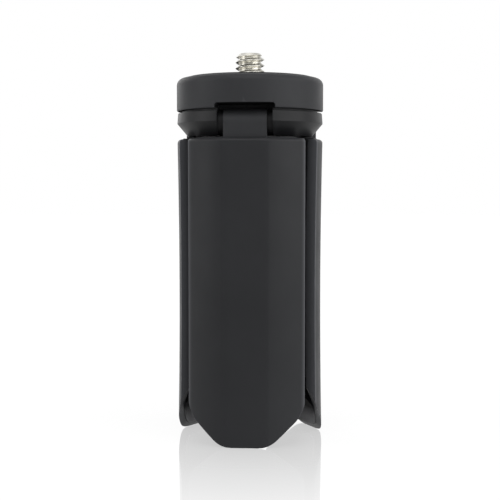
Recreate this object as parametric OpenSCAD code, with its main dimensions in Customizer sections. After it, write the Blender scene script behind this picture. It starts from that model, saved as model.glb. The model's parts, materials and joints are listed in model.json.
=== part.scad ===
// Mini tripod with three legs that close into a hand grip, and a camera screw on top.
// Millimetres, +Z up. The origin is on the floor, on the tripod's centre line, with the legs closed.
// The front leg faces -Y, and the two others stand 120 degrees round on either side of it.

/* [Head] */
// Diameter of the head cap
head_d = 32; // [30:0.5:36]
// Height of the head cap
cap_h = 7.1; // [6.6:0.1:10]
// Radius of the cap's top edge
cap_edge_r = 1.5; // [0.5:0.1:2]
// Radius of the cap's lower edge
cap_foot_r = 0.25; // [0.2:0.05:0.8]
// Thickness of the rubber pad
pad_t = 1.6; // [1:0.1:2.2]
// How far the pad stands above the cap's rim
pad_proud = 0.3; // [0.1:0.05:0.8]
// Width of the cap's rim round the pad
cap_rim_w = 2.25; // [2:0.05:3]

/* [Camera screw] */
// Major diameter of the camera thread
stud_d = 6.35; // [5:0.05:9.5]
// Pitch of the camera thread
thread_pitch = 1.27; // [0.8:0.01:1.6]
// Height of the thread above the pad
stud_h = 5.2; // [4:0.1:6.5]
// Width of the screw's hexagon head over its corners
screw_hex_d = 12; // [11:0.1:13]
// Thickness of the screw's hexagon head
screw_hex_t = 2.2; // [1.6:0.1:2.6]

/* [Hub] */
// How far the top of the hub's band lies inside the cap's edge
hub_inset = 0.25; // [0.2:0.05:1.2]
// How far the band's lower corner stands out from its top
hub_flare = 0.15; // [0:0.05:0.2]
// Slope of the hub's cone below that corner
cone_slope = 50; // [42:1:55]
// Height of the hub's straight band
hub_band_h = 2.26; // [1.4:0.02:2.4]
// Height of the round post on top of the hub
post_h = 1; // [0.8:0.05:1.2]
// Thickness of the plate that holds the hinge pins down
keeper_t = 0.45; // [0.4:0.05:1]
// Height of the recess over each leg in the cap's lower edge
notch_h = 1.05; // [0.6:0.05:1.4]
// How much wider that recess is than the hub's slot
notch_extra_w = 1; // [0.6:0.1:2]

/* [Hinges] */
// Largest angle that a leg opens to
leg_spread = 57; // [40:1:58]
// Width of the tongue on top of each leg, as a share of the head's diameter
tongue_share = 0.284; // [0.25:0.001:0.3]
// Radius of the round knuckle that turns on the pin
knuckle_r = 2.9; // [2.4:0.05:3]
// Diameter of the hinge pins
pin_d = 2.5; // [2:0.1:3]
// Depth to which a pin enters the hub at each end
pin_bite = 2.1; // [1.6:0.1:2.6]
// Thickness of the friction washers
washer_t = 1.2; // [0.8:0.05:1.3]
// Height of the hinge axis over a leg's top edge
hinge_rise = 3.19; // [3:0.01:3.6]

/* [Legs] */
// Length of a leg's outer shell
leg_len = 64.96; // [50:0.01:100]
// How far the legs' round surface lies inside the cap's edge
leg_inset = 0.1; // [0:0.05:0.6]
// Depth by which the front of each leg is cut flat
leg_flat_cut = 0.65; // [0.3:0.05:0.9]
// Angle that one leg covers round the centre line
leg_arc = 103; // [96:1:108]
// Wall thickness of a leg's outer shell
shell_t = 1.2; // [0.8:0.05:1.6]
// Depth of the shell's side rims
rim_depth = 2.1; // [1.8:0.05:3]
// How far the legs draw in at half their length
waist = 0.42; // [0.1:0.02:0.8]
// Radius of the shell's top outer edge
shell_edge_r = 0.8; // [0.3:0.1:1]
// Radius of the round lower corners of a leg
tip_corner_r = 6.5; // [4:0.1:7]
// Height at which the lower corners begin to turn in
tip_corner_z = 9.6; // [8:0.1:11]
// Slope below those corners, seen from the front
tip_slope = 42; // [35:1:48]
// Radius with which that slope runs into the leg's lowest edge
tip_round_r = 6; // [4:0.1:7]
// Width of the narrow edge that a closed leg stands on
tip_land = 0.4; // [0.2:0.05:0.8]

/* [Leg insides] */
// Thickness of the core's back wall behind the shell
core_back_t = 1.4; // [1:0.05:1.8]
// Thickness of the core's ribs
rib_t = 1.1; // [0.8:0.05:1.6]
// Rows of pockets in the core
pocket_rows = 6; // [4:1:8]
// Thickness of the core from its front to its inner face
core_depth = 5.1; // [4.8:0.05:5.4]
// How far the core's shoulder stands over the shell's top edge
shoulder_rise = 0.2; // [0.1:0.05:0.4]
// Thickness of the rubber foot
foot_t = 2.2; // [1.6:0.1:3]
// How far the foot stands out of the leg's tip
foot_proud = 0.3; // [0.1:0.05:0.5]
// Radius of the foot's peg
peg_r = 1.8; // [1:0.1:2]
// Length of the foot's peg
peg_h = 3; // [2:0.1:4]
// Diameter of the small screws in the legs
leg_screw_d = 1.9; // [1.5:0.1:2.2]
// Diameter of those screws' heads
leg_screw_head_d = 3.4; // [2.8:0.1:4]
// Height of those screws' heads
leg_screw_head_h = 1.2; // [0.8:0.1:1.4]

/* [Cap screws] */
// Diameter of the three screws that hold the cap to the hub
cap_screw_d = 2.5; // [2:0.1:3]
// Diameter of their heads
cap_screw_head_d = 4.4; // [3.8:0.1:5]
// Height of their heads
cap_screw_head_h = 1.5; // [1:0.1:1.8]
// Distance of these screws from the edge of the hub's band
cap_screw_inset = 5.25; // [4.9:0.05:5.8]
// Depth to which they enter the cap
cap_screw_bite = 3.6; // [2.5:0.1:4]

/* [Hidden] */
SIDES = ["front", "right", "left"];
LEG_KINDS = ["leg_shell", "leg_core", "foot_pad", "leg_screws", "hinge_pin", "friction_washers"];

// True round faces, and steps of the arcs in the tip's outline and of the swept thread
$fn = 96;
ARC_STEPS = 8;
THREAD_STEPS = 32;

// Clearances, and one overrun for every cut
pin_play = 0.04;
face_play = 0.05;
seat_play = 0.05;
stop_gap = 0.3;
hub_gap = 0.4;
over = 1;

// Radii from the centre line outwards, which follow the head's diameter
head_r = head_d / 2;
hub_r = head_r - hub_inset;
leg_r = head_r - leg_inset;
leg_flat = leg_r - leg_flat_cut;
core_r = leg_r - shell_t - seat_play;
core_flat = leg_flat - shell_t - seat_play;
core_face = core_flat - core_depth;
hinge_w = core_flat - knuckle_r;
tongue_w = tongue_share * head_d;

// Heights on the centre line, from the floor up
hinge_z = leg_len + hinge_rise;
shoulder_z = leg_len + shoulder_rise;
hub_z0 = shoulder_z + hub_gap;
cap_z0 = hinge_z + knuckle_r + face_play;
hub_z1 = cap_z0 - keeper_t;
hub_band_z = hub_z1 - hub_band_h;
cap_z1 = cap_z0 + cap_h;
pad_z1 = cap_z1 + pad_proud;
pad_z0 = pad_z1 - pad_t;
stud_z1 = pad_z1 + stud_h;
hex_z0 = cap_z0 + post_h;
hex_z1 = hex_z0 + screw_hex_t;

// The hub, its slots and its pins
slot_w = tongue_w + 2 * (washer_t + face_play);
slot_back = hinge_w - knuckle_r - stop_gap;
post_wall = 1.3;
post_r = slot_back - post_wall;
hollow_wall = 2.7;
hub_hollow_r = slot_back - hollow_wall;
hub_hollow_h = 2;
hub_edge_r = 0.2;
hub_corner_r = hub_r + hub_flare;
cone_r = hub_corner_r - (hub_band_z - hub_z0) / tan(cone_slope);
keeper_inset = 1;
cap_screw_at = hub_r - cap_screw_inset;
pin_r = pin_d / 2;
pin_half = slot_w / 2 + pin_bite;
notch_edge_r = 0.5;
driver_w = 0.6;
driver_depth = 0.7;

// The camera screw
stud_r = stud_d / 2;
thread_depth_share = 0.6134;
crest_share = 0.0625;
root_share = 0.4167;
stud_core_r = stud_r - thread_depth_share * thread_pitch;
stud_play = 0.4;
thread_sink = 0.1;

// The leg's section: u runs across a leg, w outwards from the centre line
half_arc = leg_arc / 2;
core_side = shell_t + seat_play;
core_back_w = core_flat - core_back_t;
half_leg_w = leg_r * sin(half_arc);
edge_out = 0.1;
reach = 2 * leg_r;
tall = 2 * leg_len;

// The inward bow of the legs is an arc through both ends and the waist
bow_r = (pow(leg_len / 2, 2) + pow(waist, 2)) / (2 * waist);
bow_angle = 2 * asin((leg_len / 2 + over) / bow_r);

// Pockets in the core, and the screws that hold the shell to it
pocket_z0 = 15;
pocket_z1 = leg_len - tongue_w / 2;
core_boss_r = 2.9;
shell_boss_r = 1.9;
shell_boss_h = 1.9;
screw_floor_t = 1.2;
leg_screw_shares = [0.36, 0.8];
peg_share = 0.5;

// Turns a shape made for the front leg to each leg's place
module at_side(side) rotate([0, 0, 120 * search([side], SIDES)[0]]) children();
module at_each_side() for (side = SIDES) at_side(side) children();

// A rod along a leg's hinge axis, centred on the leg
module hinge_rod(r, length) {
  translate([0, -hinge_w, hinge_z]) rotate([0, 90, 0]) cylinder(r = r, h = length, center = true);
}

// A rod that points outwards on the front leg, from w0 to w1 at height z
module outward_rod(r, w0, w1, z) translate([0, -w0, z]) rotate([90, 0, 0]) cylinder(r = r, h = w1 - w0);

// A block on the front leg, centred across it, from w0 to w1 and from z0 to z1
module leg_block(width, w0, w1, z0, z1) {
  translate([-width / 2, -w1, z0]) cube([width, w1 - w0, z1 - z0]);
}

// The sector that a leg fills, with both sides drawn in by a distance
module leg_wedge(inset) {
  tip = inset / sin(half_arc);
  side_u = reach * sin(half_arc);
  side_w = tip + reach * cos(half_arc);
  polygon([[0, tip], [side_u, side_w], [0, reach + tip], [-side_u, side_w]]);
}

// A leg's section out to a radius and a flat
module leg_section(r, flat_w, inset) {
  intersection() {
    circle(r = r);
    translate([-reach, 0]) square([2 * reach, flat_w]);
    leg_wedge(inset);
  }
}

module shell_section() {
  difference() {
    leg_section(leg_r, leg_flat, 0);
    leg_section(leg_r - shell_t, leg_flat - shell_t, shell_t);
    circle(r = leg_r - rim_depth);
  }
}

module core_section() {
  intersection() {
    leg_section(core_r, core_flat, core_side);
    translate([-reach, core_face]) square([2 * reach, reach]);
  }
}

module pocket_section() {
  difference() {
    leg_section(core_r - core_back_t, core_back_w, core_side + rib_t);
    translate([-rib_t / 2, 0]) square([rib_t, reach]);
  }
}

// Sweeps a section of the front leg along its bow
module bowed() {
  axis_w = leg_flat - waist + bow_r;
  translate([0, -axis_w, leg_len / 2]) rotate([90, 0, 90]) rotate([0, 0, -bow_angle / 2])
    rotate_extrude(angle = bow_angle, $fn = 20 * $fn) translate([axis_w + waist, 0]) rotate(90) children();
}

// Everything above the slanted face of the tip. Moving it by off sets it out of the leg.
// The slanted face lies flat on the floor when the leg is fully open.
module above_slant(off) {
  translate([0, tip_land - leg_flat, 0]) rotate([leg_spread, 0, 0])
    translate([-reach, -reach, -off]) cube([2 * reach, reach + tall, tall]);
}

// Points of an arc about a centre, from one angle to another
function arc_points(centre, r, from, to) =
  [for (i = [0:ARC_STEPS]) let (a = from + (to - from) * i / ARC_STEPS) centre + r * [cos(a), sin(a)]];

// The leg's front outline up to a height: round lower corners, a slope, and a round run into the lowest edge
module leg_outline(top, inset) {
  r = tip_corner_r - inset;
  corner = [half_leg_w + edge_out - tip_corner_r, tip_corner_z];
  fall = (corner.y - tip_round_r) * cos(tip_slope) + tip_round_r - tip_corner_r;
  centre = [corner.x - fall / sin(tip_slope), tip_round_r];
  right = concat(
    [[corner.x + r, top]],
    arc_points(corner, r, 0, tip_slope - 90),
    arc_points(centre, tip_round_r - inset, tip_slope - 90, -90)
  );
  left = [for (i = [len(right) - 1:-1:0]) [-right[i].x, right[i].y]];
  rotate([90, 0, 0]) linear_extrude(height = reach) polygon(concat(right, left));
}

// Half an outline that rounds a top outer edge at radius w and height z
module round_edge_outline(w, z, r) {
  square([reach, z - r]);
  square([w - r, z]);
  translate([w - r, z - r]) circle(r = r);
}

// Rounds the shell's top outer edge, on its round sides and on its flat
module under_round_top() {
  intersection() {
    rotate_extrude() round_edge_outline(leg_r, leg_len, shell_edge_r);
    rotate([90, 0, -90]) linear_extrude(height = 2 * reach, center = true)
      round_edge_outline(leg_flat, leg_len, shell_edge_r);
  }
}

// Cap that carries the camera: a seat for the pad, a pocket for the screw, and a notch over each leg
module head_cap() color("#3a3b3e") {
  difference() {
    translate([0, 0, cap_z0]) rotate_extrude() intersection() {
      square([reach, reach]);
      union() {
        translate([0, cap_foot_r]) square([head_r, cap_h - cap_foot_r - cap_edge_r]);
        square([head_r - cap_foot_r, cap_h - cap_edge_r]);
        square([head_r - cap_edge_r, cap_h]);
        translate([head_r - cap_edge_r, cap_h - cap_edge_r]) circle(r = cap_edge_r);
        translate([head_r - cap_foot_r, cap_foot_r]) circle(r = cap_foot_r);
      }
    }
    translate([0, 0, pad_z0]) cylinder(r = head_r - cap_rim_w + seat_play, h = pad_t + over);
    translate([0, 0, cap_z0 - over]) cylinder(r = stud_r + seat_play, h = cap_h);
    translate([0, 0, cap_z0 - over]) cylinder(r = post_r + seat_play, h = post_h + over);
    translate([0, 0, hex_z0]) cylinder(d = screw_hex_d + 2 * seat_play, h = screw_hex_t, $fn = 6);
    at_each_side() cap_notch();
    at_each_side() cap_screw_place() translate([0, 0, cap_z0 - over])
      cylinder(d = cap_screw_d, h = cap_screw_bite + over);
  }
}

// The recess over a leg in the cap's lower edge, with round upper corners
module cap_notch() {
  w = slot_w + notch_extra_w;
  r = notch_edge_r;
  translate([0, -slot_back, cap_z0]) rotate([90, 0, 0]) linear_extrude(height = reach) {
    translate([-w / 2, -over]) square([w, over + notch_h - r]);
    translate([r - w / 2, 0]) square([w - 2 * r, notch_h]);
    for (side = [-1, 1]) translate([side * (w / 2 - r), notch_h - r]) circle(r = r);
  }
}

// Rubber pad that the camera sits on
module top_pad() color("#2c2c2e") {
  r = head_r - cap_rim_w;
  translate([0, 0, pad_z0]) rotate_extrude() {
    difference() {
      union() {
        square([r, pad_t - pad_proud]);
        square([r - pad_proud, pad_t]);
        translate([r - pad_proud, pad_t - pad_proud]) circle(r = pad_proud);
      }
      translate([0, -over]) square([stud_r + stud_play, pad_t + 2 * over]);
    }
  }
}

// Threaded rod from z0 to z1, with a right-hand thread and a 45 degree lead-in at its upper end.
// Its columns of points follow the thread round, and lie at the rod's two ends where they pass them.
module threaded_rod(z0, z1) {
  turns = ceil((z1 - z0) / thread_pitch) + 1;
  rows = 4 * turns;
  heights = thread_pitch * [-root_share, -crest_share, crest_share, root_share];
  function place(i, k) =
    let (
      a = 360 * i / THREAD_STEPS,
      z = z0 + thread_pitch * (i / THREAD_STEPS + floor(k / 4)) - thread_pitch / 2 + heights[k % 4],
      low = z < z0 + 2 * thread_sink,
      high = z > z1 - thread_sink,
      crest_r = min(stud_r, stud_core_r + z1 - z),
      r = low || high || k % 4 == 0 || k % 4 == 3 ? stud_core_r : crest_r
    )
    [r * cos(a), r * sin(a), low ? z0 : high ? z1 : z];
  points = [for (i = [0:THREAD_STEPS - 1]) for (k = [0:rows]) place(i, k)];
  function index(i, k) =
    i < THREAD_STEPS ? i * (rows + 1) + min(k, rows) : min(k + 4, rows);
  quads = [
    for (i = [0:THREAD_STEPS - 1]) for (k = [0:rows - 1])
      [index(i, k), index(i, k + 1), index(i + 1, k + 1), index(i + 1, k)]
  ];
  sides = [
    for (q = quads) for (t = [[q[0], q[1], q[2]], [q[0], q[2], q[3]]])
      if (points[t[0]] != points[t[1]] && points[t[1]] != points[t[2]] && points[t[2]] != points[t[0]]) t
  ];
  bottom = [for (i = [0:THREAD_STEPS - 1]) index(i, 0)];
  top = [for (i = [THREAD_STEPS - 1:-1:0]) index(i, rows)];
  polyhedron(points, concat(sides, [bottom, top]), convexity = 6);
}

// Camera screw: its hexagon head sits in the cap, and its thread stands above the pad
module camera_screw() color("#c9cbce") {
  translate([0, 0, hex_z0]) cylinder(d = screw_hex_d, h = screw_hex_t, $fn = 6);
  translate([0, 0, hex_z1]) cylinder(r = stud_r, h = pad_z0 - hex_z1);
  threaded_rod(pad_z0 - thread_sink, stud_z1);
}

// Places a shape made on the centre line at the cap screw beside the front leg
module cap_screw_place() rotate([0, 0, 60]) translate([0, -cap_screw_at, 0]) children();

// Slot, pin grooves and all else that a leg's hinge takes out of the hub
module hinge_cut() {
  groove_w = 2 * (pin_r + pin_play);
  leg_block(slot_w, slot_back, reach, hub_z0 - over, cap_z0 + post_h + over);
  hinge_rod(pin_r + pin_play, 2 * pin_half);
  leg_block(2 * pin_half, hinge_w - groove_w / 2, hinge_w + groove_w / 2, hinge_z, cap_z0);
}

// Hub that carries the three hinges
module hub() color("#2f3033") {
  difference() {
    rotate_extrude() {
      polygon([
        [0, hub_z0],
        [cone_r, hub_z0],
        [hub_corner_r, hub_band_z],
        [hub_r, hub_z1 - hub_edge_r],
        [hub_r - hub_edge_r, hub_z1],
        [post_r, hub_z1],
        [post_r, hex_z0],
        [0, hex_z0]
      ]);
      translate([hub_r - hub_edge_r, hub_z1 - hub_edge_r]) circle(r = hub_edge_r);
    }
    translate([0, 0, hub_z0 - over]) cylinder(r = hub_hollow_r, h = hub_hollow_h + over);
    at_each_side() hinge_cut();
    at_each_side() cap_screw_place() {
      translate([0, 0, hub_z0 - over]) cylinder(d = cap_screw_d + 2 * seat_play, h = tall);
      translate([0, 0, hub_z0 - over])
        cylinder(d = cap_screw_head_d + 2 * seat_play, h = cap_screw_head_h + face_play + over);
    }
  }
}

// Plate between hub and cap, whose feet hold the pins down in their grooves
module pin_keeper() color("#3c3d40") {
  foot_half = pin_half - seat_play;
  difference() {
    union() {
      translate([0, 0, hub_z1]) cylinder(r = hub_r - keeper_inset, h = keeper_t);
      at_each_side() leg_block(2 * foot_half, hinge_w - pin_r, hinge_w + pin_r, hinge_z + pin_r, cap_z0);
    }
    translate([0, 0, hub_z1 - over]) cylinder(r = post_r + seat_play, h = keeper_t + 2 * over);
    at_each_side() leg_block(slot_w, slot_back, reach, hub_z0, cap_z0 + over);
    at_each_side() cap_screw_place() translate([0, 0, hub_z0])
      cylinder(d = cap_screw_d + 2 * seat_play, h = tall);
  }
}

// A cross recess for a driver, cut down from z = 0
module driver_cross(size) {
  for (turn = [0, 90]) rotate([0, 0, turn])
    translate([-size / 2, -driver_w / 2, -driver_depth]) cube([size, driver_w, driver_depth + over]);
}

// Three screws that hold the cap, the plate and the hub together, with their heads below
module cap_screws() color("#8b8d90") {
  at_each_side() cap_screw_place() difference() {
    union() {
      translate([0, 0, hub_z0]) cylinder(d = cap_screw_head_d, h = cap_screw_head_h);
      translate([0, 0, hub_z0]) cylinder(d = cap_screw_d, h = cap_z0 - hub_z0 + cap_screw_bite);
    }
    translate([0, 0, hub_z0]) rotate([180, 0, 0]) driver_cross(cap_screw_head_d - 2 * driver_w);
  }
}

// Pin of one hinge
module hinge_pin() color("#b4b6b8") hinge_rod(pin_r, 2 * (pin_half - seat_play));

// Two washers beside a tongue, whose friction holds the leg where it is put
module friction_washers() color("#6c6d70") {
  washer_r = knuckle_r - stop_gap;
  middle = (tongue_w + washer_t) / 2 + face_play / 2;
  for (side = [-1, 1]) translate([side * middle, 0, 0]) difference() {
    hinge_rod(washer_r, washer_t);
    hinge_rod(pin_r + pin_play, washer_t + 2 * over);
  }
}

// Outer shell of a leg, with side rims, a slanted tip and two screw bosses inside
module leg_shell() color("#37383b") {
  wall_w = leg_flat - shell_t;
  difference() {
    union() {
      intersection() {
        bowed() shell_section();
        leg_outline(leg_len, 0);
        above_slant(0);
        under_round_top();
      }
      for (share = leg_screw_shares)
        outward_rod(shell_boss_r, wall_w - shell_boss_h, wall_w, share * leg_len);
    }
    for (share = leg_screw_shares)
      outward_rod(leg_screw_d / 2 + seat_play, core_face, wall_w - waist, share * leg_len);
  }
}

// Inner core of a leg: tongue and knuckle on top, two columns of pockets, and a seat for the foot
module leg_core() color("#2b2c2f") {
  floor_w = leg_flat - shell_t - shell_boss_h;
  head_w = floor_w - screw_floor_t;
  difference() {
    union() {
      intersection() {
        bowed() core_section();
        leg_outline(shoulder_z, core_side);
        above_slant(-foot_t - seat_play);
      }
      leg_block(tongue_w, hinge_w - knuckle_r, hinge_w + knuckle_r, pocket_z1, hinge_z);
      hinge_rod(knuckle_r, tongue_w);
    }
    difference() {
      intersection() {
        bowed() pocket_section();
        leg_block(reach, 0, reach, pocket_z0, pocket_z1);
      }
      for (row = [1:pocket_rows - 1]) {
        z = pocket_z0 + row * (pocket_z1 - pocket_z0) / pocket_rows;
        leg_block(reach, 0, reach, z - rib_t / 2, z + rib_t / 2);
      }
      for (share = leg_screw_shares) outward_rod(core_boss_r, core_face - waist, core_flat, share * leg_len);
    }
    hinge_rod(pin_r + pin_play, tongue_w + 2 * over);
    for (share = leg_screw_shares) {
      outward_rod(shell_boss_r + seat_play, floor_w - seat_play, reach, share * leg_len);
      outward_rod(leg_screw_d / 2 + seat_play, 0, reach, share * leg_len);
      outward_rod(leg_screw_head_d / 2 + seat_play, 0, head_w, share * leg_len);
    }
    foot_peg(peg_r + seat_play, peg_h + seat_play);
  }
}

// The foot's peg, which stands upright in the middle of the slanted tip
module foot_peg(r, length) {
  middle_w = (core_face + core_flat) / 2;
  slant_z = (leg_flat - tip_land - middle_w) * tan(leg_spread);
  through = foot_t / cos(leg_spread);
  translate([0, -middle_w, slant_z + peg_share * through])
    cylinder(r = r, h = (1 - peg_share) * through + length);
}

// Rubber foot: its sole lies flat on the floor when the leg is fully open
module foot_pad() color("#252527") {
  difference() {
    intersection() {
      bowed() core_section();
      leg_outline(leg_len, core_side);
      above_slant(foot_proud);
    }
    above_slant(-foot_t);
  }
  foot_peg(peg_r, peg_h);
}

// Two small screws that hold the shell to the core
module leg_screws() color("#8b8d90") {
  floor_w = leg_flat - shell_t - shell_boss_h;
  head_w = floor_w - screw_floor_t;
  for (share = leg_screw_shares) difference() {
    union() {
      outward_rod(leg_screw_head_d / 2, head_w - leg_screw_head_h, head_w, share * leg_len);
      outward_rod(leg_screw_d / 2, head_w, floor_w + shell_boss_h - waist - seat_play, share * leg_len);
    }
    translate([0, leg_screw_head_h - head_w, share * leg_len]) rotate([-90, 0, 0])
      driver_cross(leg_screw_head_d - 2 * driver_w);
  }
}

head_cap();
top_pad();
camera_screw();
hub();
pin_keeper();
cap_screws();
for (side = SIDES) {
  at_side(side) leg_shell();
  at_side(side) leg_core();
  at_side(side) foot_pad();
  at_side(side) leg_screws();
  at_side(side) hinge_pin();
  at_side(side) friction_washers();
}
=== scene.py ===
import json
import math

import bmesh
import bpy
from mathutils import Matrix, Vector


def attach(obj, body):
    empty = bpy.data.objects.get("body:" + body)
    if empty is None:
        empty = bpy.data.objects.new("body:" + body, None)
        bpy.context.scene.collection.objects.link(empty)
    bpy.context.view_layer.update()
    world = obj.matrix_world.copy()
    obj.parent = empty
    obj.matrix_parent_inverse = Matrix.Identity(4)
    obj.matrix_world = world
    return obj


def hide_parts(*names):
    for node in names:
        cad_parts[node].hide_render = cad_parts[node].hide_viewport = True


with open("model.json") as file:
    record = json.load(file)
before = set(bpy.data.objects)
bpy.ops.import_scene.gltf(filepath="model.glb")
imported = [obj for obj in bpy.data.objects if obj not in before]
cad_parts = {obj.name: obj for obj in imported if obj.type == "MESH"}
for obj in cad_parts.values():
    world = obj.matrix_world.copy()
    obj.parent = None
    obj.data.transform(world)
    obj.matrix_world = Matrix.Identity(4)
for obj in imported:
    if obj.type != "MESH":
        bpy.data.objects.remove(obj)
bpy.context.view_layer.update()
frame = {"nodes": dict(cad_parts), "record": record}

# Units and the frame: metres, +Z up, the front leg faces -Y
MM = 0.001
SIDES = {"front": 0.0, "right": 120.0, "left": 240.0}
SCENE = bpy.context.scene


# Camera, fitted to the photograph
CAMERA_DISTANCE = 247.8 * MM
CAMERA_AIM_Z = 40.75 * MM
CAMERA_ELEVATION = 3.461
CAMERA_AZIMUTH = 4.415
CAMERA_LENS = 80.74
CAMERA_SENSOR = 36.0
CAMERA_CLIP_START = 0.01
CAMERA_CLIP_END = 10.0


def direction(azimuth, elevation):
    """Unit vector from the object towards a place round it; azimuth 0 is in front, 90 to the right."""
    a = math.radians(azimuth)
    e = math.radians(elevation)
    return Vector((math.sin(a) * math.cos(e), -math.cos(a) * math.cos(e), math.sin(e)))


def look_from(obj, place, target):
    obj.location = place
    obj.rotation_euler = (place - target).to_track_quat("Z", "Y").to_euler()


def add_camera():
    data = bpy.data.cameras.new("camera")
    data.lens = CAMERA_LENS
    data.sensor_width = CAMERA_SENSOR
    data.clip_start = CAMERA_CLIP_START
    data.clip_end = CAMERA_CLIP_END
    camera = bpy.data.objects.new("camera", data)
    SCENE.collection.objects.link(camera)
    aim = Vector((0, 0, CAMERA_AIM_Z))
    look_from(camera, aim + CAMERA_DISTANCE * direction(CAMERA_AZIMUTH, CAMERA_ELEVATION), aim)
    SCENE.camera = camera


# Node helpers
class Nodes:
    """A material's node tree, with short calls to add and join nodes."""

    def __init__(self, name):
        self.material = bpy.data.materials.new(name)
        self.material.use_nodes = True
        self.tree = self.material.node_tree
        self.tree.nodes.clear()
        self.output = self.add("ShaderNodeOutputMaterial")
        place = self.add("ShaderNodeTexCoord").outputs
        self.place = place["Object"]
        self.facing = place["Normal"]

    def add(self, kind, inputs=None, **settings):
        node = self.tree.nodes.new(kind)
        for key, value in settings.items():
            setattr(node, key, value)
        for key, value in (inputs or {}).items():
            self.set(node, key, value)
        return node

    def set(self, node, key, value):
        if isinstance(value, bpy.types.NodeSocket):
            self.tree.links.new(value, node.inputs[key])
        else:
            node.inputs[key].default_value = value

    def noise(self, scale, detail=4.0, roughness=0.5, stretch=(1, 1, 1)):
        """Noise over the object; scale is in waves per metre."""
        mapping = self.add("ShaderNodeMapping", {"Vector": self.place, "Scale": stretch})
        inputs = {"Vector": mapping.outputs[0], "Scale": scale, "Detail": detail, "Roughness": roughness}
        return self.add("ShaderNodeTexNoise", inputs).outputs["Fac"]

    def ramp(self, value, low, high, at=(0.0, 1.0)):
        """Turns a value between the two places into one between low and high."""
        inputs = {"Value": value, "From Min": at[0], "From Max": at[1], "To Min": low, "To Max": high}
        return self.add("ShaderNodeMapRange", inputs).outputs["Result"]

    def mix(self, factor, a, b):
        node = self.add("ShaderNodeMix", data_type="RGBA")
        self.set(node, "Factor", factor)
        self.set(node, 6, (*a, 1) if isinstance(a, tuple) else a)
        self.set(node, 7, (*b, 1) if isinstance(b, tuple) else b)
        return node.outputs[2]

    def bump(self, height, distance, strength=1.0, below=None):
        inputs = {"Height": height, "Distance": distance, "Strength": strength}
        if below is not None:
            inputs["Normal"] = below
        return self.add("ShaderNodeBump", inputs).outputs["Normal"]

    def finish(self, shader):
        self.tree.links.new(shader, self.output.inputs["Surface"])
        return self.material


# Materials: linear colours, noise scales in waves per metre, grain depths in metres
NOISE_MIDDLE = (0.3, 0.7)
BLOOM_MIDDLE = (0.35, 0.7)
PATCH_SCALE = 45.0
GLOSS_PATCH_SCALE = 160.0
ROUGH_SPREAD = 0.05
WORN_POINTINESS = (0.52, 0.58)
WORN_PALER = 3.0
RIM_PAINTED_LIGHT = 3.8
PLASTIC_IOR = 1.5
# Painted shade for the faces inside the gap between cap and hub: near black and matt
GAP_SHADE_COLOUR = (0.002, 0.002, 0.0022)
GAP_SHADE_ROUGH = 0.9
BLOOM_SCALE = 120.0
RUBBER_GRAIN_SCALE = 5200.0
RUBBER_GRAIN_DEPTH = 0.00002
RUBBER_IOR = 1.45
RUBBER_SHEEN = 0.05
RUBBER_SHEEN_ROUGH = 0.5
FLOOR_LIGHT_HEIGHTS = (0.5 * MM, 6.5 * MM)
CLOUD_SCALE = 300.0
TURNING_SCALE = 900.0
TURNING_STRETCH = (0.15, 0.15, 6.0)


def paler(colour, factor):
    return tuple(factor * c for c in colour)


def moulded_plastic(name, dark, light, rough, grain, grain_depth, wear, gloss, rim=0.0, inner=None):
    """Black moulded plastic: a fine cast grain, slight patches in colour and gloss, and paler worn edges.

    rim is how far the points marked as rim are painted paler: a painted highlight along edges and
    painted light on faces in shade; inner is the range of the normal's height from which a face is
    painted near black and matt, as painted shade in a gap.
    """
    n = Nodes(name)
    patches = n.noise(PATCH_SCALE, detail=3.0)
    fine = n.noise(grain, detail=6.0, roughness=0.62)
    colour = n.mix(n.ramp(patches, 0.0, 1.0, NOISE_MIDDLE), dark, light)
    edges = n.add("ShaderNodeNewGeometry").outputs["Pointiness"]
    worn = n.ramp(edges, 0.0, wear, WORN_POINTINESS)
    # Painted highlight and painted light: points marked as rim turn paler, along the shell's edges and on
    # its rim faces in shade
    if rim:
        painted_rim_light = n.add("ShaderNodeAttribute", attribute_name="rim").outputs["Fac"]
        colour = n.mix(n.ramp(painted_rim_light, 0.0, rim), colour, paler(light, RIM_PAINTED_LIGHT))
    colour = n.mix(worn, colour, paler(light, WORN_PALER))
    gloss_patches = n.noise(GLOSS_PATCH_SCALE, detail=5.0)
    roughness = n.ramp(gloss_patches, rough - ROUGH_SPREAD, rough + ROUGH_SPREAD, NOISE_MIDDLE)
    # Painted shade: faces facing the given way, down on the cap and up on the hub, are painted near black
    # and matt to darken the gap between them
    if inner:
        height = n.add("ShaderNodeSeparateXYZ", {"Vector": n.facing}).outputs["Z"]
        bare = n.ramp(height, 0.0, 1.0, inner)
        colour = n.mix(bare, colour, GAP_SHADE_COLOUR)
        roughness = n.ramp(bare, roughness, GAP_SHADE_ROUGH)
    shader = n.add("ShaderNodeBsdfPrincipled", {
        "Base Color": colour, "Roughness": roughness, "Normal": n.bump(fine, grain_depth),
        "IOR": PLASTIC_IOR, "Specular IOR Level": gloss,
    })
    return n.finish(shader.outputs[0])


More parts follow.
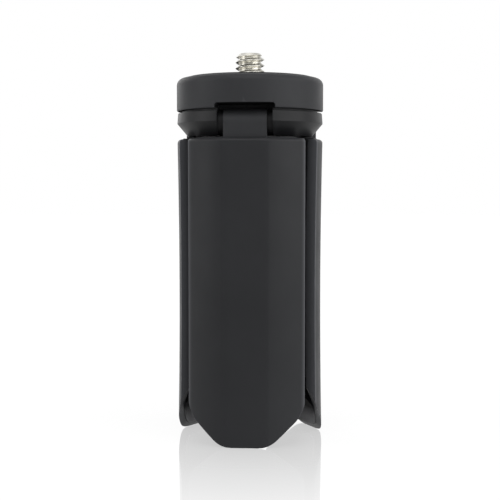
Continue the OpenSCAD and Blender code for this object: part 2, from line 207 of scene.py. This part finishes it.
def soft_rubber(name, dark, light, rough, gloss, floor_light_colour=None):
    """Rubber: matt, with a soft grain and a faint bloom; its optional colour near the floor is painted
    light, standing in for the floor's bounce light.
    """
    n = Nodes(name)
    bloom = n.noise(BLOOM_SCALE, detail=5.0, roughness=0.6)
    grain = n.noise(RUBBER_GRAIN_SCALE, detail=4.0, roughness=0.6)
    colour = n.mix(n.ramp(bloom, 0.0, 1.0, BLOOM_MIDDLE), dark, light)
    # Painted light: the rubber turns paler towards the floor, standing in for the light the white floor
    # throws up onto the soles
    if floor_light_colour:
        height = n.add("ShaderNodeSeparateXYZ", {"Vector": n.place}).outputs["Z"]
        colour = n.mix(n.ramp(height, 1.0, 0.0, FLOOR_LIGHT_HEIGHTS), colour, floor_light_colour)
    roughness = n.ramp(bloom, rough - 0.06, rough + 0.04, NOISE_MIDDLE)
    shader = n.add("ShaderNodeBsdfPrincipled", {
        "Base Color": colour, "Roughness": roughness, "Normal": n.bump(grain, RUBBER_GRAIN_DEPTH),
        "IOR": RUBBER_IOR, "Specular IOR Level": gloss,
        "Sheen Weight": RUBBER_SHEEN, "Sheen Roughness": RUBBER_SHEEN_ROUGH,
    })
    return n.finish(shader.outputs[0])


def plated_steel(name, colour, tarnish, rough, scratch):
    """Plated steel: fine turning marks round the axis and slight clouding."""
    n = Nodes(name)
    clouds = n.noise(CLOUD_SCALE, detail=5.0, roughness=0.55)
    marks = n.noise(TURNING_SCALE, detail=5.0, roughness=0.7, stretch=TURNING_STRETCH)
    tint = n.mix(n.ramp(clouds, 0.0, 1.0, BLOOM_MIDDLE), colour, tarnish)
    roughness = n.ramp(marks, rough - 0.05, rough + 0.08, NOISE_MIDDLE)
    shader = n.add("ShaderNodeBsdfPrincipled", {
        "Base Color": tint, "Roughness": roughness, "Normal": n.bump(marks, scratch), "Metallic": 1.0,
    })
    return n.finish(shader.outputs[0])


# Finishes of each kind of piece
# The cap's downward faces and the hub's upward faces are painted near black, as painted shade in the gap
# between them
HEAD_PLASTIC = moulded_plastic(
    "head_plastic", (0.0214, 0.0218, 0.0236), (0.0276, 0.0283, 0.0305),
    rough=0.5, grain=6500.0, grain_depth=0.000016, wear=0.2, gloss=0.12, inner=(-0.9, -0.98))
HUB_PLASTIC = moulded_plastic(
    "hub_plastic", (0.0060, 0.0062, 0.0068), (0.0085, 0.0087, 0.0095),
    rough=0.42, grain=5500.0, grain_depth=0.000005, wear=0.15, gloss=0.14, inner=(0.9, 0.98))
# The shell takes a painted highlight along its edges and painted light on its rim faces from its rim marks
SHELL_PLASTIC = moulded_plastic(
    "shell_plastic", (0.0165, 0.0169, 0.0184), (0.0205, 0.0210, 0.0228),
    rough=0.46, grain=6000.0, grain_depth=0.000013, wear=0.2, gloss=0.12, rim=1.0)
CORE_PLASTIC = moulded_plastic(
    "core_plastic", (0.0168, 0.0171, 0.0184), (0.0207, 0.0212, 0.0227),
    rough=0.5, grain=5000.0, grain_depth=0.000013, wear=0.15, gloss=0.11)
WASHER_NYLON = moulded_plastic(
    "washer_nylon", (0.004, 0.004, 0.0043), (0.006, 0.006, 0.0064),
    rough=0.55, grain=4000.0, grain_depth=0.000008, wear=0.1, gloss=0.1)
RUBBER = soft_rubber("rubber", (0.012, 0.012, 0.0128), (0.018, 0.018, 0.019), rough=0.6, gloss=0.15)
# Feet: near black higher up, with painted floor light towards the floor
FOOT_RUBBER = soft_rubber(
    "foot_rubber", (0.002, 0.002, 0.0022), (0.003, 0.003, 0.0033),
    rough=0.75, gloss=0.02, floor_light_colour=(0.3, 0.3, 0.31))
SCREW_STEEL = plated_steel(
    "screw_steel", (0.60, 0.585, 0.54), (0.42, 0.41, 0.37), rough=0.26, scratch=0.000006)
FASTENER_STEEL = plated_steel(
    "fastener_steel", (0.5, 0.5, 0.51), (0.36, 0.36, 0.37), rough=0.36, scratch=0.00001)

FINISHES = {
    "head_plastic": HEAD_PLASTIC,
    "hub_plastic": HUB_PLASTIC,
    "shell_plastic": SHELL_PLASTIC,
    "core_plastic": CORE_PLASTIC,
    "washer_nylon": WASHER_NYLON,
    "rubber": RUBBER,
    "screw_steel": SCREW_STEEL,
    "fastener_steel": FASTENER_STEEL,
}


def dress_cad_nodes():
    """Gives every carried-over CAD node its finish, and rounds the edges of those that show."""
    slots = {part["node"]: part["material_slot"] for part in frame["record"]["subparts"]}
    for name, node in frame["nodes"].items():
        for slot in node.material_slots:
            slot.material = FINISHES[slots[name]]
        if name.startswith("leg_core"):
            round_edges(node, *CORE_EDGE)
        elif name.startswith("foot_pad"):
            node.material_slots[0].material = FOOT_RUBBER
            round_edges(node, *FOOT_EDGE)


# Sizes of the shaped pieces in millimetres, as in the part's source
LEG_LEN = 64.96
LEG_R = 15.9
LEG_FLAT = 15.25
HALF_ARC = math.radians(51.5)
SHELL_T = 1.2
RIM_R = 13.8
RIM_END_Z = 11.3
WAIST = 0.42
SHELL_EDGE_R = 0.8
TIP_CORNER_R = 6.5
EDGE_OUT = 0.1
TIP_CORNER_Z = 9.6
TIP_SLOPE = math.radians(42.0)
TIP_ROUND_R = 6.0
TIP_LAND = 0.4
LEG_SPREAD = math.radians(57.0)
HEAD_R = 16.0
CAP_Z0 = 71.1
CAP_Z1 = 78.2
PAD_R = 13.75
PAD_Z0 = 76.9
PAD_Z1 = 78.5
SLOT_BACK = 7.9
SLOT_W = 11.588
NOTCH_W = SLOT_W + 1.0
NOTCH_H = 1.05
HUB_Z0 = 65.56
HUB_BAND_Z = 68.39
HUB_Z1 = 70.65
HUB_R = 15.75
HUB_CORNER_R = 15.9
CONE_R = 13.525
POST_R = 6.6
POST_Z = 72.1
CAP_SCREW_AT = 10.5
STUD_R = 3.175
STUD_CORE_R = 2.396
STUD_Z1 = 83.7
PITCH = 1.27

# Edge roundings: width in millimetres, and the least angle in degrees that is rounded
CORE_EDGE = (0.14, 38.0)
FOOT_EDGE = (0.12, 30.0)
SHELL_EDGE = (0.2, 50.0)
CAP_EDGE = (0.16, 40.0)
PAD_EDGE = (0.08, 50.0)
HUB_EDGE = (0.12, 30.0)
EDGE_SEGMENTS = 3
NORMALS_WEIGHT = 80

# Points closer than this are merged, in millimetres
MERGE_DIST = 0.002


# Mesh helpers
CUTTER_STEPS = 64
CUT_OVER = 1.0
BETWEEN_LEGS = 60.0


def add_piece(name, verts, faces, node, body, slot, edge=None, rim=None):
    """Makes a smooth piece from points in millimetres, in place of a CAD node.

    edge is its edge rounding, and rim gives each point's share of painted highlight and painted light. A
    cutter has no node.
    """
    mesh = bpy.data.meshes.new(name)
    mesh.from_pydata([[MM * c for c in v] for v in verts], [], faces)
    # The rim attribute holds each point's painted highlight and painted light
    if rim:
        marks = mesh.attributes.new("rim", "FLOAT", "POINT")
        for i, flag in enumerate(rim):
            marks.data[i].value = float(flag)
    bm = bmesh.new()
    bm.from_mesh(mesh)
    bmesh.ops.remove_doubles(bm, verts=bm.verts, dist=MERGE_DIST * MM)
    bmesh.ops.recalc_face_normals(bm, faces=bm.faces)
    bm.to_mesh(mesh)
    bm.free()
    for polygon in mesh.polygons:
        polygon.use_smooth = True
    piece = bpy.data.objects.new(name, mesh)
    SCENE.collection.objects.link(piece)
    if node:
        piece.data.materials.append(FINISHES[slot])
        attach(piece, body)
        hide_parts(node)
    if edge:
        round_edges(piece, *edge)
    return piece


def round_edges(piece, width, angle):
    """Rounds a piece's sharp edges, and keeps its flat faces flat in the shading."""
    bevel = piece.modifiers.new("edges", "BEVEL")
    bevel.width = width * MM
    bevel.segments = EDGE_SEGMENTS
    bevel.limit_method = "ANGLE"
    bevel.angle_limit = math.radians(angle)
    bevel.harden_normals = False
    bevel.miter_outer = "MITER_ARC"
    even_normals(piece)


def even_normals(piece):
    normals = piece.modifiers.new("normals", "WEIGHTED_NORMAL")
    normals.keep_sharp = True
    normals.weight = NORMALS_WEIGHT


def cut_with(piece, cutters):
    """Cuts closed meshes out of a piece, and removes them."""
    for cutter in cutters:
        cut = piece.modifiers.new("cut", "BOOLEAN")
        cut.operation = "DIFFERENCE"
        cut.solver = "EXACT"
        cut.object = cutter
    depsgraph = bpy.context.evaluated_depsgraph_get()
    mesh = bpy.data.meshes.new_from_object(piece.evaluated_get(depsgraph))
    piece.modifiers.clear()
    old = piece.data
    piece.data = mesh
    bpy.data.meshes.remove(old)
    for polygon in mesh.polygons:
        polygon.use_smooth = True
    for cutter in cutters:
        data = cutter.data
        bpy.data.objects.remove(cutter)
        bpy.data.meshes.remove(data)


def revolved(profile, steps):
    """Points and faces of a closed profile of (radius, height) turned about the centre line."""
    verts = []
    faces = []
    n = len(profile)
    for i in range(steps):
        a = 2 * math.pi * i / steps
        verts += [(r * math.cos(a), r * math.sin(a), z) for r, z in profile]
    for i in range(steps):
        j = (i + 1) % steps
        for k in range(n):
            m = (k + 1) % n
            faces.append((i * n + k, j * n + k, j * n + m, i * n + m))
    return verts, faces


def arc(centre_r, centre_z, radius, start, end, steps):
    """Points of an arc in a profile, from one angle to another in degrees."""
    out = []
    for i in range(steps + 1):
        a = math.radians(start + (end - start) * i / steps)
        out.append((centre_r + radius * math.cos(a), centre_z + radius * math.sin(a)))
    return out


def extruded(outline, place, low, high):
    """Points and faces of an outline pushed from low to high; place turns (a, b, depth) into x, y, z."""
    n = len(outline)
    verts = [place(a, b, low) for a, b in outline] + [place(a, b, high) for a, b in outline]
    faces = [tuple(range(n))[::-1], tuple(range(n, 2 * n))]
    faces += [(i, (i + 1) % n, n + (i + 1) % n, n + i) for i in range(n)]
    return verts, faces


def turned(point, degrees):
    a = math.radians(degrees)
    x, y, z = point
    return (x * math.cos(a) - y * math.sin(a), x * math.sin(a) + y * math.cos(a), z)


def side_cutters(outline, low, high):
    """A cutter for each leg, from an outline across it, between two distances from the centre line."""
    out = []
    for side, angle in SIDES.items():
        verts, faces = extruded(outline, lambda a, b, w: turned((a, -w, b), angle), low, high)
        out.append(add_piece("cutter_" + side, verts, faces, None, None, None))
    return out


def circle(radius, steps):
    turns = [2 * math.pi * i / steps for i in range(steps)]
    return [(radius * math.cos(a), radius * math.sin(a)) for a in turns]


def upright_cutters(radius, at, low, high):
    """Round upright cutters midway between the legs."""
    outline = circle(radius, CUTTER_STEPS)
    out = []
    for side, angle in SIDES.items():
        middle = angle + BETWEEN_LEGS
        verts, faces = extruded(outline, lambda a, b, z: turned((a, b - at, z), middle), low, high)
        out.append(add_piece("cutter_" + side, verts, faces, None, None, None))
    return out


# Leg shells: how finely they are built, where a painted highlight lies along their edges, and the painted
# light on their rim faces
FLAT_POINTS = (0.0, 1.4, 2.8, 3.9)
CREASE_GAP = math.radians(1.3)
ARC_STEPS = 22
RIM_TURN_SHARES = (0.35, 0.62, 0.84, 1.0)
TIP_LEVEL_SHARES = (0.0, 0.004, 0.012, 0.04, 0.09, 0.16)
WALL_LEVEL_SHARES = (0.25, 0.35, 0.45, 0.55, 0.65, 0.75, 0.84, 0.91, 0.96, 1.0)
TOP_STEPS = 6
SETTLE_STEPS = 4
NEARLY = 0.001
ON_ARC = 0.02
RIM_REACH = 0.1
EDGE_HIGHLIGHT_SPREAD = math.radians(4.0)
EDGE_HIGHLIGHT_POWER = 1.5
RIM_CORNER_PAINTED_LIGHT = 0.3
TIP_PAINTED_HIGHLIGHT = 0.7
TIP_HIGHLIGHT_FROM = 4.5
TIP_HIGHLIGHT_OVER = 2.5


def bow(z):
    """How far the leg draws in at a height."""
    half = LEG_LEN / 2
    return WAIST * (1 - ((z - half) / half) ** 2)


def outline_z(u):
    """Height of the leg's lower outline at a distance across it."""
    u = abs(u)
    corner_u = LEG_R * math.sin(HALF_ARC) + EDGE_OUT - TIP_CORNER_R
    fall = (TIP_CORNER_Z - TIP_ROUND_R) * math.cos(TIP_SLOPE) + TIP_ROUND_R - TIP_CORNER_R
    centre_u = corner_u - fall / math.sin(TIP_SLOPE)
    turn_low = centre_u + TIP_ROUND_R * math.sin(TIP_SLOPE)
    turn_high = corner_u + TIP_CORNER_R * math.sin(TIP_SLOPE)
    if u <= centre_u:
        return 0.0
    if u <= turn_low:
        return TIP_ROUND_R - math.sqrt(TIP_ROUND_R ** 2 - (u - centre_u) ** 2)
    if u <= turn_high:
        low_z = TIP_ROUND_R - TIP_ROUND_R * math.cos(TIP_SLOPE)
        return low_z + (u - turn_low) * math.tan(TIP_SLOPE)
    return TIP_CORNER_Z - math.sqrt(max(0.0, TIP_CORNER_R ** 2 - (u - corner_u) ** 2))


def lowest_z(u, w):
    """Height at which a point of the leg's section meets the tip's outline or its slanted face."""
    z = outline_z(u)
    for _ in range(SETTLE_STEPS):
        slant = math.tan(LEG_SPREAD) * (LEG_FLAT - TIP_LAND - (w - bow(z)))
        z = max(outline_z(u), slant, 0.0)
    return z


def on_flat(w):
    return abs(w - LEG_FLAT) < NEARLY


def on_inner_rim(u, w):
    return math.hypot(u, w) < RIM_R + RIM_REACH


def shell_section():
    """Outer and inner points of half a shell's section, in pairs, then the points of its side rim."""
    crease = math.acos(LEG_FLAT / LEG_R)
    inner_r = LEG_R - SHELL_T
    rim_side = HALF_ARC - math.asin(SHELL_T / inner_r)
    pairs = [((u, LEG_FLAT), (u, LEG_FLAT - SHELL_T)) for u in FLAT_POINTS]
    first = crease + CREASE_GAP
    for i in range(ARC_STEPS + 1):
        a = first + (rim_side - first) * i / ARC_STEPS
        across, out = math.sin(a), math.cos(a)
        pairs.append(((LEG_R * across, LEG_R * out), (inner_r * across, inner_r * out)))
    rim = []
    for a in (rim_side + (HALF_ARC - rim_side) * share for share in RIM_TURN_SHARES):
        rim.append((LEG_R * math.sin(a), LEG_R * math.cos(a)))
    rim.append((RIM_R * math.sin(HALF_ARC), RIM_R * math.cos(HALF_ARC)))
    foot = HALF_ARC - math.asin(SHELL_T / RIM_R)
    rim.append((RIM_R * math.sin(foot), RIM_R * math.cos(foot)))
    return pairs, rim


def shell_levels(ring, is_outer):
    """Points of a shell, level by level: the wall from the tip up, then its round top edge."""
    top_z = LEG_LEN - SHELL_EDGE_R
    verts = []
    for share in TIP_LEVEL_SHARES + WALL_LEVEL_SHARES:
        for u, w in ring:
            low = lowest_z(u, w)
            if on_inner_rim(u, w):
                low = max(low, RIM_END_Z)
            z = low + (top_z - low) * share
            verts.append((u, -(w - bow(z)), z))
    for k in range(1, TOP_STEPS + 1):
        a = math.pi / 2 * k / TOP_STEPS
        z = top_z + SHELL_EDGE_R * math.sin(a)
        pull = SHELL_EDGE_R * (1 - math.cos(a))
        for (u, w), outside in zip(ring, is_outer):
            d = pull if outside else 0.0
            r = math.hypot(u, w)
            if on_flat(w):
                verts.append((u, -(w - bow(z) - d), z))
            else:
                verts.append((u * (1 - d / r), -(w * (1 - d / r) - bow(z)), z))
    return verts


def shell_end(base, count, m, n):
    """Faces that close one end: a strip between outer and inner points, and a block at each rim.

    base is the end's first point, count the pairs, m the points of half the loop, n of all of it.
    """
    def place(i):
        return base + i % n
    ends = []
    for i in range(count - 1):
        ends.append((place(i), place(i + 1), place(m - 2 - i), place(m - 1 - i)))
        ends.append((place(n - i - 1), place(n - i), place(m - 1 + i), place(m + i)))
    block = list(range(count - 1, m - count + 1))
    ends.append(tuple(place(i) for i in block))
    ends.append(tuple(place(n - i) for i in reversed(block)))
    return ends


def shell_painted_light(ring, is_outer):
    """Painted highlight and painted light of each point of the tip's edge, and of each point of a level
    above it: a highlight along the outer side and tip edges, and light on the rim's inner corner.
    """
    tip = []
    wall = []
    for (u, w), outside in zip(ring, is_outer):
        share = min(1.0, max(0.0, (abs(u) - TIP_HIGHLIGHT_FROM) / TIP_HIGHLIGHT_OVER))
        tip.append(TIP_PAINTED_HIGHLIGHT * share if outside else 0.0)
        from_corner = HALF_ARC - math.atan(abs(u) / w)
        if on_inner_rim(u, w):
            wall.append(RIM_CORNER_PAINTED_LIGHT if from_corner < NEARLY else 0.0)
        else:
            wall.append(max(0.0, 1.0 - from_corner / EDGE_HIGHLIGHT_SPREAD) ** EDGE_HIGHLIGHT_POWER)
    return tip, wall


def add_leg_shell(side, angle):
    """The outer shell of a leg: a bowed half tube with side rims, a slanted tip and a round top edge."""
    pairs, rim = shell_section()
    loop = [outer for outer, _ in pairs] + rim + [inner for _, inner in pairs][::-1]
    mirrored = [(-u, w) for u, w in loop[::-1]]
    ring = loop[:-1] + mirrored[:-1]
    is_outer = [abs(math.hypot(u, w) - LEG_R) < ON_ARC or on_flat(w) for u, w in ring]
    verts = [turned(v, angle) for v in shell_levels(ring, is_outer)]
    n = len(ring)
    levels = len(TIP_LEVEL_SHARES) + len(WALL_LEVEL_SHARES) + TOP_STEPS
    faces = []
    for k in range(levels - 1):
        for i in range(n):
            j = (i + 1) % n
            faces.append((k * n + i, k * n + j, (k + 1) * n + j, (k + 1) * n + i))
    faces += [f[::-1] for f in shell_end(0, len(pairs), len(loop), n)]
    faces += shell_end((levels - 1) * n, len(pairs), len(loop), n)
    # Painted highlight and painted light for each point, kept in the rim attribute
    tip, wall = shell_painted_light(ring, is_outer)
    add_piece("shell_" + side, verts, faces, "leg_shell_" + side, "leg_" + side, "shell_plastic",
              SHELL_EDGE, tip + wall * (levels - 1))


# Head: cap, pad, screw and hub
TURN_STEPS = 240
PLAY = 0.05
CAP_EDGE_R = 1.5
CAP_FOOT_R = 0.25
CAP_UNDER_R = 9.0
CAP_SIDE_H = 2.4
NOTCH_CORNER_R = 0.5
PAD_SOFT_R = 0.3
PAD_PLAY = 0.4
PAD_TOP_POINTS = (10.0, 6.0)
THREAD_ROOT_SHARE = 0.11
THREAD_FLATS = 1.6
THREAD_SOFT_SHARE = 0.35
SCREW_STEPS = 96
SCREW_ROW_H = 0.055
SCREW_SINK = 0.2
LEAD_IN = 0.15
LEAD_SLOPE = 1.05
SCREW_END_R = 1.2
HEX_R = 6.0
HEX_H = 2.2
HUB_BORE_R = 5.2
HUB_BORE_H = 2.0
HUB_AXIS_R = 0.4
HUB_FOOT_W = 0.5
HUB_SOFT_R = 0.2
SCREW_RECESS_R = 2.25
SCREW_RECESS_H = 1.55


def add_cap():
    """The head cap, with a recess over each leg in its lower edge."""
    inside = PAD_R + PLAY
    bore = STUD_R + PLAY
    profile = [(bore, CAP_Z0), (CAP_UNDER_R, CAP_Z0)]
    profile += arc(HEAD_R - CAP_FOOT_R, CAP_Z0 + CAP_FOOT_R, CAP_FOOT_R, -90, 0, 4)
    profile += [(HEAD_R, CAP_Z0 + CAP_SIDE_H)]
    profile += arc(HEAD_R - CAP_EDGE_R, CAP_Z1 - CAP_EDGE_R, CAP_EDGE_R, 0, 90, 10)
    profile += [(inside, CAP_Z1), (inside, PAD_Z0), (bore, PAD_Z0)]
    verts, faces = revolved(profile, TURN_STEPS)
    cap = add_piece("cap", verts, faces, "head_cap", "head", "head_plastic")
    half = NOTCH_W / 2
    corner_z = CAP_Z0 + NOTCH_H - NOTCH_CORNER_R
    outline = [(-half, CAP_Z0 - CUT_OVER), (half, CAP_Z0 - CUT_OVER)]
    outline += arc(half - NOTCH_CORNER_R, corner_z, NOTCH_CORNER_R, 0, 90, 6)
    outline += arc(NOTCH_CORNER_R - half, corner_z, NOTCH_CORNER_R, 90, 180, 6)
    cut_with(cap, side_cutters(outline, SLOT_BACK, HEAD_R + CUT_OVER))
    round_edges(cap, *CAP_EDGE)


def add_pad():
    """The rubber pad: a flat ring round the screw, with a soft outer rim."""
    bore = STUD_R + PAD_PLAY
    profile = [(bore, PAD_Z0), (PAD_R, PAD_Z0), (PAD_R, PAD_Z1 - PAD_SOFT_R)]
    profile += arc(PAD_R - PAD_SOFT_R, PAD_Z1 - PAD_SOFT_R, PAD_SOFT_R, 0, 90, 6)[1:]
    profile += [(r, PAD_Z1) for r in PAD_TOP_POINTS]
    profile += [(bore, PAD_Z1)]
    verts, faces = revolved(profile, TURN_STEPS)
    add_piece("pad", verts, faces, "top_pad", "head", "rubber", PAD_EDGE)


def thread_radius(height, turn):
    """Radius of the thread at a height, at a turn from 0 to 1 round it."""
    t = (height / PITCH - turn) % 1.0
    ramp = min(t, 1.0 - t) / 0.5
    rise = (ramp - THREAD_ROOT_SHARE) / (1.0 - THREAD_FLATS * THREAD_ROOT_SHARE)
    rise = min(1.0, max(0.0, rise))
    soft = rise * rise * (3 - 2 * rise)
    rise = soft * THREAD_SOFT_SHARE + rise * (1.0 - THREAD_SOFT_SHARE)
    return STUD_CORE_R + (STUD_R - STUD_CORE_R) * rise


def ring_points(radius, z, steps):
    return [(x, y, z) for x, y in circle(radius, steps)]


def ring_faces(low, high, steps):
    """Faces between two rings of points, given by their first points."""
    pairs = [(i, (i + 1) % steps) for i in range(steps)]
    return [(low + i, low + j, high + j, high + i) for i, j in pairs]


def thread_points(low, rows):
    """Rows of points on the thread from a height up, with a slanted lead-in at its end."""
    verts = []
    for k in range(rows + 1):
        z = low + (STUD_Z1 - low) * k / rows
        lead_r = STUD_CORE_R - LEAD_IN + (STUD_Z1 - z) * LEAD_SLOPE
        for i in range(SCREW_STEPS):
            turn = i / SCREW_STEPS
            r = min(thread_radius(z - low, turn), lead_r)
            a = 2 * math.pi * turn
            verts.append((r * math.cos(a), r * math.sin(a), z))
    return verts


def add_screw():
    """The camera screw: a hexagon head inside the cap, a shank, and a true helical thread."""
    low = PAD_Z0 - SCREW_SINK
    rows = int((STUD_Z1 - low) / SCREW_ROW_H)
    verts = thread_points(low, rows)
    faces = []
    for k in range(rows):
        faces += ring_faces(k * SCREW_STEPS, (k + 1) * SCREW_STEPS, SCREW_STEPS)
    # The flat end
    end = len(verts)
    verts += ring_points(SCREW_END_R, STUD_Z1, SCREW_STEPS)
    faces += ring_faces(rows * SCREW_STEPS, end, SCREW_STEPS)
    verts.append((0.0, 0.0, STUD_Z1))
    centre = len(verts) - 1
    faces += [(end + i, end + (i + 1) % SCREW_STEPS, centre) for i in range(SCREW_STEPS)]
    # Hexagon head and shank below, hidden in the cap
    hexagon = len(verts)
    verts += ring_points(HEX_R, POST_Z, 6) + ring_points(HEX_R, POST_Z + HEX_H, 6)
    faces.append(tuple(hexagon + i for i in range(6))[::-1])
    faces += ring_faces(hexagon, hexagon + 6, 6)
    shank = len(verts)
    verts += ring_points(STUD_CORE_R, POST_Z + HEX_H, SCREW_STEPS)
    verts += ring_points(STUD_CORE_R, low, SCREW_STEPS)
    faces += ring_faces(shank, shank + SCREW_STEPS, SCREW_STEPS)
    faces += ring_faces(shank + SCREW_STEPS, 0, SCREW_STEPS)
    step = SCREW_STEPS // 6
    for i in range(6):
        side = [shank + (i * step + k) % SCREW_STEPS for k in range(step + 1)]
        faces.append(tuple([hexagon + 6 + i, hexagon + 6 + (i + 1) % 6] + side[::-1]))
    add_piece("screw", verts, faces, "camera_screw", "head", "screw_steel")


def add_hub():
    """The hub: a ring with a cone below it, open at three slots."""
    bore_z = HUB_Z0 + HUB_BORE_H
    profile = [(HUB_BORE_R, bore_z), (HUB_BORE_R, HUB_Z0), (CONE_R - HUB_FOOT_W, HUB_Z0), (CONE_R, HUB_Z0)]
    profile += [(HUB_CORNER_R, HUB_BAND_Z)]
    profile += arc(HUB_R - HUB_SOFT_R, HUB_Z1 - HUB_SOFT_R, HUB_SOFT_R, 0, 90, 5)
    profile += [(POST_R, HUB_Z1), (POST_R, POST_Z), (HUB_AXIS_R, POST_Z), (HUB_AXIS_R, bore_z)]
    verts, faces = revolved(profile, TURN_STEPS)
    hub = add_piece("hub_ring", verts, faces, "hub", "head", "hub_plastic")
    half = SLOT_W / 2
    low_z = HUB_Z0 - CUT_OVER
    high_z = POST_Z + CUT_OVER
    outline = [(-half, low_z), (half, low_z), (half, high_z), (-half, high_z)]
    cut_with(hub, side_cutters(outline, SLOT_BACK, HEAD_R + CUT_OVER))
    round_edges(hub, *HUB_EDGE)
    cut_with(hub, upright_cutters(SCREW_RECESS_R, CAP_SCREW_AT, low_z, HUB_Z0 + SCREW_RECESS_H))
    even_normals(hub)


# Floor, backdrop and light
FLOOR_HALF = 1.6
MIRROR_NEAR = 0.42
MIRROR_FAR = 0.2
MIRROR_ROUGH = 0.03
MIRROR_NEAR_R = 15 * MM
MIRROR_FAR_R = 55 * MM
MATT_NEAR_R = 60 * MM
MATT_FAR_R = 220 * MM
FLOOR_WHITE = 1.08
FLOOR_MATT = 0.12
FLOOR_COLOUR = (0.8, 0.8, 0.8)
WORLD_LIGHT = 0.2

# Soft lights: azimuth and elevation in degrees, distance, width and height in metres, power in watts
SOFTBOXES = {
    "front_light": (-6.0, 50.0, 0.35, 0.2, 0.2, 0.42),
    "key_light": (64.0, 20.0, 0.75, 0.9, 0.6, 5.2),
    "left_light": (-72.0, 18.0, 0.7, 0.3, 0.5, 1.8),
    "back_left_light": (-140.0, 20.0, 0.9, 0.4, 0.5, 1.2),
    "back_right_light": (145.0, 20.0, 0.9, 0.4, 0.5, 0.45),
    "top_light": (0.0, 85.0, 0.6, 0.4, 0.4, 0.4),
}


def add_floor():
    """A white floor, whose faint mirror image fades away from the object."""
    mesh = bpy.data.meshes.new("floor")
    h = FLOOR_HALF
    mesh.from_pydata([(-h, -h, 0), (h, -h, 0), (h, h, 0), (-h, h, 0)], [], [(0, 1, 2, 3)])
    floor = bpy.data.objects.new("floor", mesh)
    SCENE.collection.objects.link(floor)
    n = Nodes("floor")
    away = n.add("ShaderNodeVectorMath", {0: n.place}, operation="LENGTH").outputs["Value"]
    fade = n.ramp(away, MIRROR_NEAR, MIRROR_FAR, (MIRROR_NEAR_R, MIRROR_FAR_R))
    dull = n.ramp(away, FLOOR_MATT, 0.0, (MATT_NEAR_R, MATT_FAR_R))
    white = n.add("ShaderNodeEmission", {"Color": (1, 1, 1, 1), "Strength": FLOOR_WHITE}).outputs[0]
    matt = n.add("ShaderNodeBsdfDiffuse", {"Color": (*FLOOR_COLOUR, 1)}).outputs[0]
    mirror = n.add("ShaderNodeBsdfGlossy", {"Color": (1, 1, 1, 1), "Roughness": MIRROR_ROUGH}).outputs[0]
    seen = n.add("ShaderNodeMixShader", {"Fac": fade, 1: white, 2: mirror}).outputs[0]
    shaded = n.add("ShaderNodeMixShader", {"Fac": dull, 1: seen, 2: matt}).outputs[0]
    path = n.add("ShaderNodeLightPath")
    camera_ray = path.outputs["Is Camera Ray"]
    glossy_ray = path.outputs["Is Glossy Ray"]
    direct = n.add("ShaderNodeMixShader", {"Fac": camera_ray, 1: matt, 2: shaded}).outputs[0]
    both = n.add("ShaderNodeMixShader", {"Fac": glossy_ray, 1: direct, 2: white}).outputs[0]
    floor.data.materials.append(n.finish(both))


def add_world():
    """A pale studio all round, white where the camera, a mirror or glass looks at it."""
    world = bpy.data.worlds.new("studio")
    world.use_nodes = True
    tree = world.node_tree
    tree.nodes.clear()
    output = tree.nodes.new("ShaderNodeOutputWorld")
    background = tree.nodes.new("ShaderNodeBackground")
    background.inputs["Color"].default_value = (1, 1, 1, 1)
    path = tree.nodes.new("ShaderNodeLightPath")
    seen = tree.nodes.new("ShaderNodeMath")
    seen.operation = "MAXIMUM"
    clear = tree.nodes.new("ShaderNodeMath")
    clear.operation = "MAXIMUM"
    strength = tree.nodes.new("ShaderNodeMapRange")
    strength.inputs["To Min"].default_value = WORLD_LIGHT
    strength.inputs["To Max"].default_value = 1.0
    tree.links.new(path.outputs["Is Camera Ray"], seen.inputs[0])
    tree.links.new(path.outputs["Is Glossy Ray"], seen.inputs[1])
    tree.links.new(seen.outputs[0], clear.inputs[0])
    tree.links.new(path.outputs["Is Transmission Ray"], clear.inputs[1])
    tree.links.new(clear.outputs[0], strength.inputs["Value"])
    tree.links.new(strength.outputs["Result"], background.inputs["Strength"])
    tree.links.new(background.outputs[0], output.inputs["Surface"])
    SCENE.world = world


def add_softbox(name, azimuth, elevation, distance, width, height, power):
    data = bpy.data.lights.new(name, "AREA")
    data.shape = "RECTANGLE"
    data.size = width
    data.size_y = height
    data.energy = power
    light = bpy.data.objects.new(name, data)
    SCENE.collection.objects.link(light)
    aim = Vector((0, 0, CAMERA_AIM_Z))
    look_from(light, aim + distance * direction(azimuth, elevation), aim)


def add_lights():
    for name, settings in SOFTBOXES.items():
        add_softbox(name, *settings)


add_camera()
dress_cad_nodes()
for side_name, side_angle in SIDES.items():
    add_leg_shell(side_name, side_angle)
add_cap()
add_pad()
add_screw()
add_hub()
add_floor()
add_world()
add_lights()

SCENE.view_settings.view_transform = "Standard"
